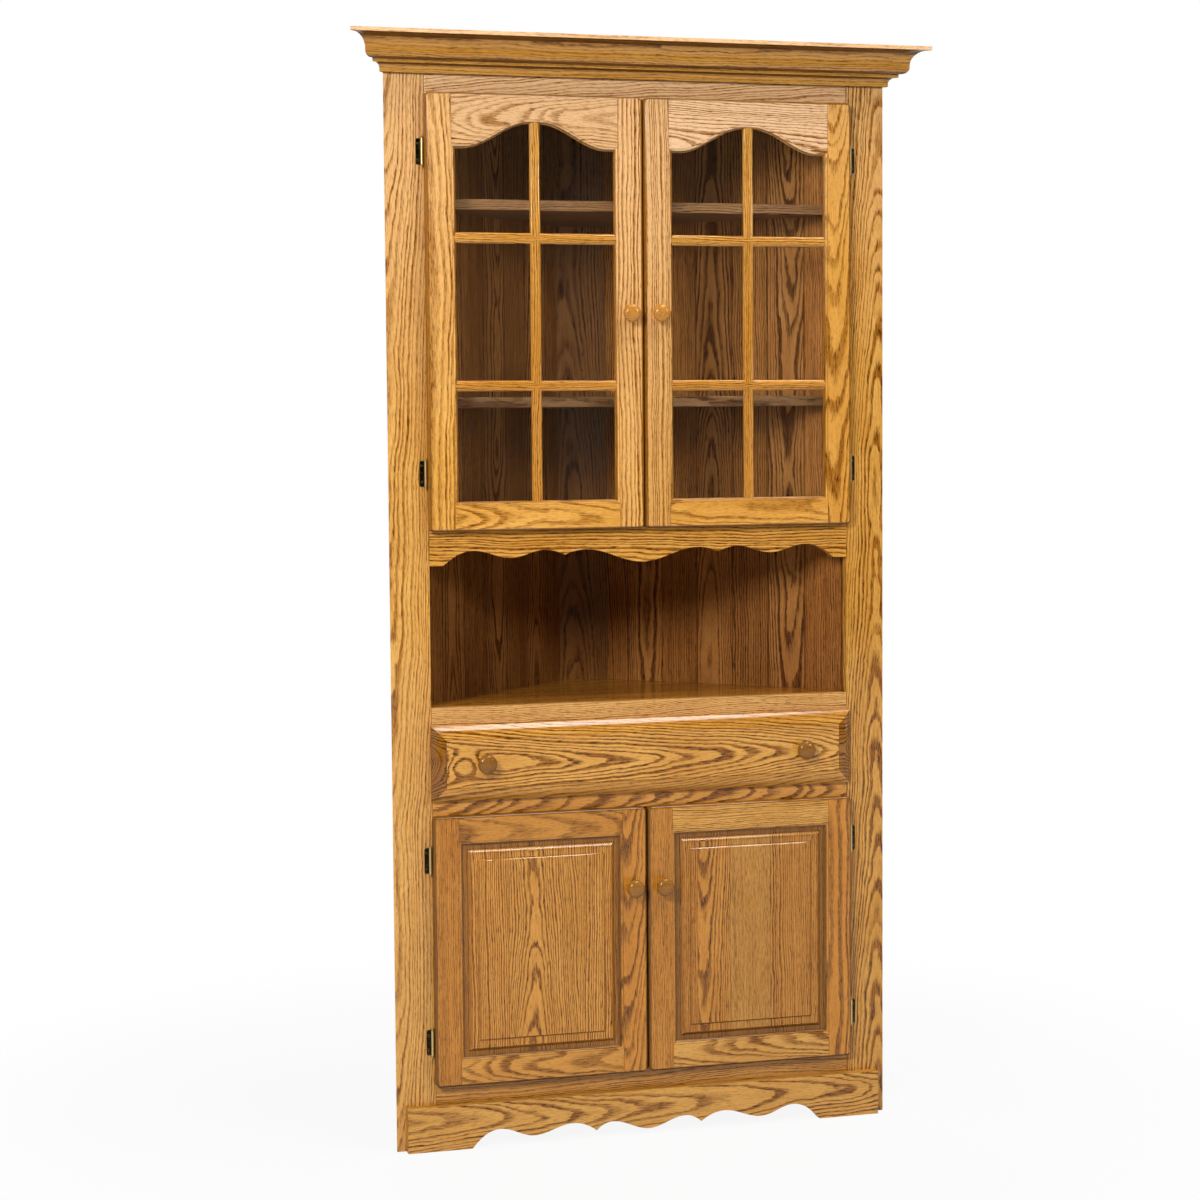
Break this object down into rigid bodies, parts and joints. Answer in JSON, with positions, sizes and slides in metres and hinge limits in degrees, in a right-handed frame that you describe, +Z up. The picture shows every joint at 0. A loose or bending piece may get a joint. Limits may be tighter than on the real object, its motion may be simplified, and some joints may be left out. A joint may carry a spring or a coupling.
{
  "type": "corner cupboard",
  "caption": "Tall oak corner cupboard with glazed doors above, an open niche, a wide drawer and panelled doors below.",
  "frame": {"origin": "bottom centre of the bounding box, on the floor", "axes": "+Z up, front towards -Y, the room's corner towards +Y, +X to the right seen from the front"},
  "size_m": [1.074, 0.483, 1.981],
  "materials": {
    "oak_front": "glossy golden oak lacquer",
    "oak_inside": "satin lacquered oak",
    "oak_drawer_box": "satin",
    "antique_brass": "antiqued",
    "clear_glass": "clear"
  },
  "bodies": {
    "cabinet": {"left_stile": "oak_front", "right_stile": "oak_front", "top_rail": "oak_front", "valance_rail": "oak_front", "counter_rail": "oak_front", "middle_rail": "oak_front", "bottom_rail": "oak_front", "base_skirt": "oak_front", "crown_moulding": "oak_front", "left_wall": "oak_inside", "right_wall": "oak_inside", "back_panel": "oak_inside", "top_board": "oak_inside", "display_floor": "oak_inside", "counter_top": "oak_inside", "drawer_deck": "oak_inside", "cupboard_floor": "oak_inside", "upper_shelf_high": "oak_inside", "upper_shelf_low": "oak_inside", "lower_shelf": "oak_inside", "drawer_guide_left": "oak_drawer_box", "drawer_guide_right": "oak_drawer_box", "hinge_left_1_frame_leaf": "antique_brass", "hinge_left_2_frame_leaf": "antique_brass", "hinge_left_3_frame_leaf": "antique_brass", "hinge_left_4_frame_leaf": "antique_brass", "hinge_right_1_frame_leaf": "antique_brass", "hinge_right_2_frame_leaf": "antique_brass", "hinge_right_3_frame_leaf": "antique_brass", "hinge_right_4_frame_leaf": "antique_brass"},
    "upper_door_left": {"upper_door_left_frame": "oak_front", "upper_door_left_glass": "clear_glass", "upper_door_left_grid": "oak_front", "upper_knob_left": "oak_front", "hinge_left_1_door_leaf": "antique_brass", "hinge_left_2_door_leaf": "antique_brass"},
    "upper_door_right": {"upper_door_right_frame": "oak_front", "upper_door_right_glass": "clear_glass", "upper_door_right_grid": "oak_front", "upper_knob_right": "oak_front", "hinge_right_1_door_leaf": "antique_brass", "hinge_right_2_door_leaf": "antique_brass"},
    "lower_door_left": {"lower_door_left_frame": "oak_front", "lower_door_left_panel": "oak_front", "lower_knob_left": "oak_front", "hinge_left_3_door_leaf": "antique_brass", "hinge_left_4_door_leaf": "antique_brass"},
    "lower_door_right": {"lower_door_right_frame": "oak_front", "lower_door_right_panel": "oak_front", "lower_knob_right": "oak_front", "hinge_right_3_door_leaf": "antique_brass", "hinge_right_4_door_leaf": "antique_brass"},
    "drawer": {"drawer_front": "oak_front", "drawer_box_front": "oak_drawer_box", "drawer_box_back": "oak_drawer_box", "drawer_box_left": "oak_drawer_box", "drawer_box_right": "oak_drawer_box", "drawer_box_base": "oak_drawer_box", "drawer_knob_left": "oak_front", "drawer_knob_right": "oak_front"}
  },
  "joints": [
    {"name": "upper_door_left_hinge", "type": "hinge", "parent": "cabinet", "child": "upper_door_left", "pos_m": [-0.4011, -0.1785, 1.496], "axis": [0, 0, -1], "range_deg": [0, 110]},
    {"name": "upper_door_right_hinge", "type": "hinge", "parent": "cabinet", "child": "upper_door_right", "pos_m": [0.4011, -0.1785, 1.496], "axis": [0, 0, 1], "range_deg": [0, 110]},
    {"name": "lower_door_left_hinge", "type": "hinge", "parent": "cabinet", "child": "lower_door_left", "pos_m": [-0.4011, -0.1785, 0.3595], "axis": [0, 0, -1], "range_deg": [0, 110]},
    {"name": "lower_door_right_hinge", "type": "hinge", "parent": "cabinet", "child": "lower_door_right", "pos_m": [0.4011, -0.1785, 0.3595], "axis": [0, 0, 1], "range_deg": [0, 110]},
    {"name": "drawer_slide", "type": "slide", "parent": "cabinet", "child": "drawer", "axis": [0, -1, 0], "range_m": [0, 0.14]}
  ]
}
